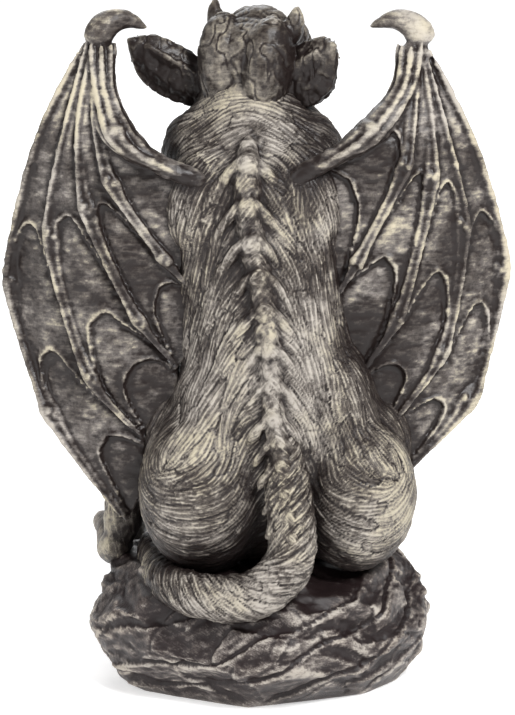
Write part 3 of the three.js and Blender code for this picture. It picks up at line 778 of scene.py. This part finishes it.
# Tail. Laid from the rump over the rock and round the left haunch, of the same casting: short fur
# combed across it and a row of knobs along its outer edge. It is swept along its path.
tail_radius = 14.5
tail_rows = [
    (-13, 58, 92, 1.05),
    (-16, 70, 62, 1.02),
    (-19, 78, 34, 1),
    (-18, 85, 12, 1),
    (0, 88, -6, 0.98),
    (23, 85, -10, 0.94),
    (43, 74, -9, 0.88),
    (56, 48, -9, 0.8),
    (62, 14, -8, 0.72),
    (66, -14, -5, 0.58),
    (66, -34, -2, 0.3),
]
tail_knobs = 22
tail_shells = bmesh.new()
tail_path = [(x, y, z, tail_radius * share) for x, y, z, share in tail_rows]
limb(tail_shells, tail_path, side=(0, 0, 1), around=32, rings=120)
shares = np.linspace(0.3, 0.93, tail_knobs)
path = np.array([row[:3] for row in tail_rows], float)
middles = smooth_line(path, shares)
ways = smooth_line(path, shares + 0.01) - smooth_line(path, shares - 0.01)
ways /= np.linalg.norm(ways, axis=1)[:, None]
girths = tail_radius * smooth_line([(row[3], 0) for row in tail_rows], shares)[:, 0]
for middle, way, girth in zip(middles, ways, girths):
    outer = np.cross(way, (0, 0, 1))
    outer /= np.linalg.norm(outer)
    place = middle + girth * (outer * 0.72 - np.array([0, 0, 0.5]))
    mass(tail_shells, place, (girth * 0.34,) * 3)
tail = Surface(skin_round(tail_shells, voxel=1.1, easing=3))
normals = tail.normals()
steps = np.linspace(0, 1, 160)
line = smooth_line(path, steps)
lookup = search_tree(line)
nearest = np.array([lookup.find(spot)[1] for spot in tail.points])
tangents = np.gradient(line, axis=0)[nearest]
tangents /= np.linalg.norm(tangents, axis=1)[:, None]
flow = tangent(normals, np.cross(tangents, normals) * 0.75 + tangents * 0.65)
comb = furred(tail, flow, lock_width=6, lock_length=26, hair_width=2.4, seed=9)
tail.points[:, 2] += figure_foot
settle(tail, "tail", fur_paint, comb)

# Head. Skull, muzzle, jaws, horns and two leaf-shaped ears, of the same casting: leathery skin over
# two lobes of the skull. It is built square to the front, then turned aside and set on the neck.
head_turn, head_bow = -24, 8  # degrees
head_place = (3, -20, 294)
ears = [
    {"root": (24, -8, -10), "reach": (52, 2, 22), "lie": (0.34, 0.1, -0.94), "width": 26},
    {"root": (-17, 2, -6), "reach": (-34, 22, 20), "lie": (-0.2, 0.28, -0.94), "width": 29},
]
ear_thickness = 5.5
ear_cup, ear_folds, ear_rim = 10, 1.3, 1.8  # how deep the ear is cupped and folded, and how high its rim is


def slab(bm, across, along):
    """Adds a unit grid and its double, walled together, and gives the points of each."""
    points = bmesh.ops.create_grid(bm, x_segments=across, y_segments=along, size=1)["verts"]
    faces = list({face for point in points for face in point.link_faces})
    walled = bmesh.ops.extrude_face_region(bm, geom=faces)["geom"]
    return points, [item for item in walled if isinstance(item, bmesh.types.BMVert)]


def ear(bm, root, reach, lie, width):
    """A bat's ear: a pointed leaf, cupped towards the front."""
    start, out, down = np.array(root, float), np.array(reach, float), np.array(lie, float)
    down -= out * (down @ out) / (out @ out)
    down /= np.linalg.norm(down)
    back = np.cross(out, down)
    back /= np.linalg.norm(back) * (1 if back[1] > 0 else -1)
    leaf, top = slab(bm, 40, 40)
    bmesh.ops.translate(bm, vec=(0, 0, 1), verts=top)
    for point in leaf + top:
        across, t, z = point.co.x, (point.co.y + 1) / 2, point.co.z - 0.5
        half = width * (0.62 + 0.7 * t) * math.sqrt(max(0.01, 1 - t**1.6))
        inner = 1 - across * across
        cup = ear_cup * inner * (1 - 0.5 * t)
        fold = ear_folds * math.cos(across * 9 + t * 2) * math.sin(math.pi * min(1, t * 1.1)) * inner
        rim = ear_rim * max(0, abs(across) - 0.82) / 0.18
        place = start + out * (t * (1 - 0.08 * across * across))
        place = place + down * (half * across * (1.05 if across > 0 else 0.5) + width * 0.2 * (1 - t))
        place = place + back * (cup + fold + (z + 0.5) * rim + z * ear_thickness * (1 - 0.45 * t))
        point.co = place


head_shells = bmesh.new()
mass(head_shells, (0, 0, 0), (28, 27, 27))  # skull
mass(head_shells, (0, -22, -14), (24, 22, 20))  # muzzle
mass(head_shells, (0, -10, -40), (19, 22, 13), (10, 0, 0))  # throat
mass(head_shells, (0, 6, -26), (22, 22, 24))  # nape
mass(head_shells, (0, -6, 15), (21, 19, 17))  # crown


def arc_rows(half, tip):
    """A whole arc's rows, from its tip and the rows of its left half."""
    return [(-x, *rest) for x, *rest in half] + [tip] + half[::-1]


z_side = {"side": (0, 0, 1)}
brow = arc_rows([(27, -14, 9, 7), (14, -25, 12, 8.5)], (0, -28, 6, 6))
upper_jaw = arc_rows([(23, -16, -29, 8), (16, -38, -25, 9), (8, -51, -22, 9)], (0, -54, -20, 8))
lower_jaw = arc_rows([(21, -4, -38, 9), (17, -26, -46, 8), (8, -42, -48, 7.5)], (0, -45, -48, 7))
limb(head_shells, brow, **z_side)
limb(head_shells, [(0, -26, 4, 9, 8), (0, -42, -3, 10, 9), (0, -54, -9, 12, 8)])  # bridge of the nose
limb(head_shells, upper_jaw, rings=48, **z_side)
limb(head_shells, lower_jaw, rings=48, **z_side)
for side in sides:
    mass(head_shells, (side * 14, 12, -3), (15.5, 18, 30), (0, side * 4, 0))  # lobe of the skull
    mass(head_shells, (side * 13, 14, -24), (11, 12, 12))  # its lower bulge over the nape
    mass(head_shells, (side * 12.5, -25, 2), (6.2, 5.5, 5.2))  # eye
    mass(head_shells, (side * 20, -16, -12), (11, 15, 12))  # cheek
    mass(head_shells, (side * 6, -52, -12), (7, 6, 6))  # nostril
    claw(head_shells, (side * 9, -50, -26), (side * 10, -52, -38), 3.4, (0, -1, 0))  # upper fang
    claw(head_shells, (side * 15, -36, -43), (side * 17, -39, -26), 3.6, (side * 1.5, -2, 0))  # tusk
    claw(head_shells, (side * 20, -1, 14), (side * 27, 1, 34), 8.5, (side * 2, 2, 0))  # horn
    mass(head_shells, (side * 20, -10, 16), (9, 12, 9))  # brow boss before the horn
pose = Matrix.Translation(head_place) @ Matrix.Rotation(math.radians(head_turn), 4, "Z")
pose = pose @ Matrix.Rotation(math.radians(head_bow), 4, "X")
bmesh.ops.transform(head_shells, matrix=pose, verts=head_shells.verts)
for plan in ears:
    leaf_shell = bmesh.new()
    ear(leaf_shell, **plan)
    bmesh.ops.translate(leaf_shell, vec=head_place, verts=leaf_shell.verts)
    leaf_mesh = bpy.data.meshes.new("ear")
    leaf_shell.to_mesh(leaf_mesh)
    head_shells.from_mesh(leaf_mesh)
head = Surface(skin_round(head_shells, voxel=0.95, easing=4))
folded = np.abs(cloud(head.points * (1, 1, 0.45), 7, 55, 2))
head.carve(0.7 * cloud(head.points, 10, 53, 3) + 0.7 * (between(0, 0.3, folded) - 0.8))
head.carve(0.25 * cloud(head.points, 2.6, 57, 2))
head.points[:, 2] += figure_foot
skin_paint = resin(
    "painted skin",
    recess=(0.016, 0.011, 0.01, 1),
    middle=(0.082, 0.068, 0.055, 1),
    ridge=(0.45, 0.4, 0.29, 1),
    dusting=(0.17, 0.15, 0.128, 1),
    streaks="grain",
    lightness=-0.2,
)
settle(head, "head", skin_paint)

# Wings. Two half-open bat wings, of the same casting: an arm with a claw at the wrist, four slender
# fingers, and skin between them that billows in pads under raised arches. Each is skinned as one.
wing_plans = [
    {
        "side": 1,
        "rails": [
            [(94, 309), (92, 282), (80, 255), (58, 241), (30, 229)],
            [(95, 308), (95, 258), (88, 230), (56, 183), (40, 164)],
            [(97, 308), (106, 250), (102, 212), (71, 145), (48, 116)],
            [(100, 308), (116, 246), (124, 194), (100, 108), (68, 72)],
            [(103, 307), (134, 240), (148, 160), (126, 84), (80, 20)],
        ],
        "arches": [[], [0.53, 0.78], [0.49, 0.68, 0.83], [0.43, 0.67, 0.88]],
        "claw_tip": (66, -4, 316),
    },
    {
        "side": -1,
        "rails": [
            [(-91, 309), (-86, 284), (-63, 257), (-43, 245), (-17, 230)],
            [(-92, 308), (-90, 268), (-86, 240), (-58, 181), (-46, 160)],
            [(-93, 308), (-100, 266), (-102, 232), (-82, 147), (-56, 106)],
            [(-95, 308), (-112, 246), (-121, 201), (-109, 123), (-78, 80)],
            [(-98, 307), (-131, 236), (-145, 170), (-127, 92), (-82, 45)],
        ],
        "arches": [[0.42, 0.68], [0.51, 0.685], [0.46, 0.64, 0.855], [0.42, 0.62, 0.83]],
        "claw_tip": (-65, -4, 316),
    },
]  # rails run down the arm and the fingers; arches are the arches' tops, as shares of the way down a panel
wing_bulge, wing_curl = 24, 46  # how far back a wing's middle stands, and how far its edge curls forward
hem_scoop = 30  # how far the hem draws in between two fingers
membrane_thickness = 7
finger_radius = 3.6
outer_finger_share = 1.55  # the outer finger's thickness in other fingers
finger_places = (0, 0.2, 0.43, 0.5, 0.57, 0.7, 0.75, 0.8, 1)  # shares of the way down a finger
finger_girths = (1, 0.9, 0.92, 1.35, 0.9, 0.8, 1.2, 0.75, 0.45)  # how thick it is there
finger_joints = (3, 6)  # which of those places are joints
arch_height, arch_width, arch_drop = 2.3, 0.011, 0.19  # the last two as shares of the way down
pad_depth, pad_fade = 4.0, 0.038


def wing_depth(x, z):
    """How far back the wing stands at a place seen from behind."""
    out = np.clip((np.abs(x) - 70) / 82, 0, 1)
    return wing_bulge - wing_curl * out * out - 20 * between(240, 315, z)


def on_wing(rails, across, down):
    """Points of the wing's skin, where across counts the panels from the arm to the outer finger."""
    panel = np.minimum(len(rails) - 2, across.astype(int))
    share = across - panel
    lines = np.array([smooth_line([(x, 0, z) for x, z in rail], down) for rail in rails])
    rows = np.arange(len(across))
    point = lines[panel, rows] * (1 - share)[:, None] + lines[panel + 1, rows] * share[:, None]
    billow = 4 * share * (1 - share)
    point[:, 1] = wing_depth(point[:, 0], point[:, 2]) - 3.5 * billow * down
    point[:, 0] -= np.sign(point[:, 0]) * billow * hem_scoop * np.maximum(0, down - 0.8)
    return point


def wing_relief(arches, across, down):
    """How far the skin stands out behind: pads that swell between the arches, and the arches."""
    panel = np.minimum(len(arches) - 1, across.astype(int))
    share = across - panel
    dip = np.abs(2 * share - 1)
    height = np.zeros(len(across))
    for i, places in enumerate(arches):
        for place in places:
            below = down - (place + arch_drop * dip**3)
            rim = np.exp(-((below / arch_width) ** 2)) * arch_height
            sunk = np.where(below > 0, -pad_depth * np.exp(-below / pad_fade), 0)
            height = np.where(panel == i, height + rim + sunk, height)
    height += 3.0 * (1 - dip**2.4) - 1.8 * dip**6
    return height * between(0, 0.06, down)


def membrane(bm, rails, arches):
    """Adds the wing's skin: a grid laid over the rails, with its relief behind and a plainer front."""
    back, front = slab(bm, 150, 190)
    for points, is_back in ((back, True), (front, False)):
        unit = np.array([point.co for point in points])
        across = (unit[:, 0] + 1) / 2 * (len(rails) - 1)
        down = (1 - unit[:, 1]) / 2
        step = 0.01
        place = on_wing(rails, across, down)
        over = on_wing(rails, np.minimum(across + step, len(rails) - 1), down)
        over -= on_wing(rails, np.maximum(across - step, 0), down)
        below = on_wing(rails, across, down + step) - on_wing(rails, across, down - step)
        normal = np.cross(over, below)
        normal /= np.maximum(np.linalg.norm(normal, axis=1), 1e-9)[:, None]
        normal *= np.where(normal[:, 1] < 0, -1, 1)[:, None]
        relief = wing_relief(arches, across, down)
        offset = membrane_thickness / 2 + relief if is_back else relief * 0.35 - membrane_thickness / 2
        for point, spot in zip(points, place + normal * offset[:, None]):
            point.co = spot


def wing_shells(plan):
    """The shells of one wing: its fingers, its arm with the elbow and the hook, and its skin."""
    rails, side = plan["rails"], plan["side"]
    bm = bmesh.new()
    lift = membrane_thickness / 2
    for i in range(1, len(rails)):
        is_outer = i == len(rails) - 1
        radius = finger_radius * (outer_finger_share if is_outer else 1)
        inward = side * 1.6 if is_outer else 0
        bone = on_wing(rails, np.full(len(finger_places), float(i)), np.array(finger_places))
        rows = [(x - inward, y + lift + 1.2, z, radius * r) for (x, y, z), r in zip(bone, finger_girths)]
        limb(bm, [(x, y, z, r * 0.85) for x, y, z, r in rows], side=(0, 1, 0), rings=90)
        for rail in sides:  # the two ridges along each bone
            ridges = [(x + rail * (r * 0.55 + 0.5), y + r * 0.62, z, r * 0.36 + 0.3) for x, y, z, r in rows]
            limb(bm, ridges, side=(0, 1, 0), around=10, rings=90)
            for x, y, z, r in (rows[joint] for joint in finger_joints):
                mass(bm, (x + rail * 2.1, y + r * 0.7, z + rail * 1.2), (2.3, 2.6, 2.9))
    arm = on_wing(rails, np.zeros(5), np.array([0, 0.25, 0.5, 0.75, 1]))
    backs, radii = (1, 3, 6, 9, 7), (9, 7, 9.5, 7, 8)
    rows = [(x, y + b, z, r) for (x, y, z), b, r in zip(arm, backs, radii)]
    limb(bm, [(x, y, z, r * 0.85) for x, y, z, r in rows], side=(0, 1, 0), blunt=12, rings=60)
    heights = (0.95, 0.95, 1.0, 0.9, 0.35)  # of the sinews, as shares of the arm's radius
    for turn in (-85, -40, 5, 50, 90):  # sinews along the arm, seen from behind
        lean = math.radians(turn)
        sinew = [
            (x - side * r * h * math.sin(lean), y + r * h * math.cos(lean), z, r * 0.27)
            for (x, y, z, r), h in zip(rows, heights)
        ]
        limb(bm, sinew, side=(0, 1, 0), around=10, rings=90)
    for spread in (-1, 0, 1):  # the knobs of the elbow
        x, y, z = arm[2]
        mass(bm, (x + spread * 4, y + 9, z + spread * side * 5), (5.5, 7, 5))
    hook = [(side * 98, 0, 306, 9), (side * 92, 0, 317, 8.5), (side * 80, -3, 321, 6)]
    hook.append((*plan["claw_tip"], 1.2))
    limb(bm, hook, side=(0, 1, 0), blunt=10)
    membrane(bm, rails, plan["arches"])
    return bm


wing_paint = resin(
    "painted wing",
    recess=(0.016, 0.011, 0.01, 1),
    middle=(0.078, 0.065, 0.057, 1),
    ridge=(0.56, 0.5, 0.37, 1),
    dusting=(0.14, 0.124, 0.115, 1),
    streaks="grain",
    lightness=-0.12,
)
for plan, name in zip(wing_plans, ("left_wing", "right_wing")):
    wing = Surface(skin_round(wing_shells(plan), voxel=1.06, easing=2))
    wing.carve(0.45 * cloud(wing.points * (1, 1, 1.8), 7, 61, 3))
    wing.points[:, 2] += figure_foot
    settle(wing, name, wing_paint, depth=0.9)

# Studio. A wide pale floor, broad soft lights and the photograph's view from behind and a little above.
floor_mesh = bpy.data.meshes.new("floor")
sheet = bmesh.new()
bmesh.ops.create_grid(sheet, x_segments=1, y_segments=1, size=6)
sheet.to_mesh(floor_mesh)
sheet.free()
floor = added("floor", floor_mesh)
floor_paint = bpy.data.materials.new("pale floor")
floor_paint.use_nodes = True
floor_shader = floor_paint.node_tree.nodes["Principled BSDF"]
floor_shader.inputs["Base Color"].default_value = (0.9, 0.9, 0.9, 1)
floor_shader.inputs["Roughness"].default_value = 0.9
floor_shader.inputs["Emission Color"].default_value = (1, 1, 1, 1)
floor_shader.inputs["Emission Strength"].default_value = 0.5
floor_mesh.materials.append(floor_paint)

world = bpy.data.worlds.new("studio")
world.use_nodes = True
world.node_tree.nodes["Background"].inputs["Color"].default_value = (1, 1, 1, 1)
world.node_tree.nodes["Background"].inputs["Strength"].default_value = 0.3
bpy.context.scene.world = world
bpy.context.scene.view_settings.view_transform = "Standard"

middle = Vector((0.0009, 0, 0.1955))  # of the statue, in the middle of the photograph's frame


def aimed(name, data, place):
    """A light or camera set in its place and turned to the statue."""
    made = added(name, data)
    made.location = place
    made.rotation_euler = (middle - Vector(place)).to_track_quat("-Z", "Y").to_euler()
    return made


def soft_light(name, place, size, power):
    lamp = bpy.data.lights.new(name, "AREA")
    lamp.shape = "SQUARE"
    lamp.size = size
    lamp.energy = power
    aimed(name, lamp, place)


soft_light("key", (-0.9, 1.3, 1.7), 0.6, 50)
soft_light("fill", (1.6, 0.9, 0.8), 1.2, 13)
soft_light("front", (0.3, -1.6, 1.4), 1.2, 20)

view_height = 0.429  # of the photograph's frame, at the statue
view_distance = 3.5
elevation = math.radians(14)
camera_data = bpy.data.cameras.new("camera")
camera_data.sensor_fit = "VERTICAL"
camera_data.sensor_height = 36
camera_data.lens = 36 * view_distance / view_height
camera_data.clip_end = 30
behind = Vector((0, math.cos(elevation), math.sin(elevation)))
bpy.context.scene.camera = aimed("camera", camera_data, middle + view_distance * behind)
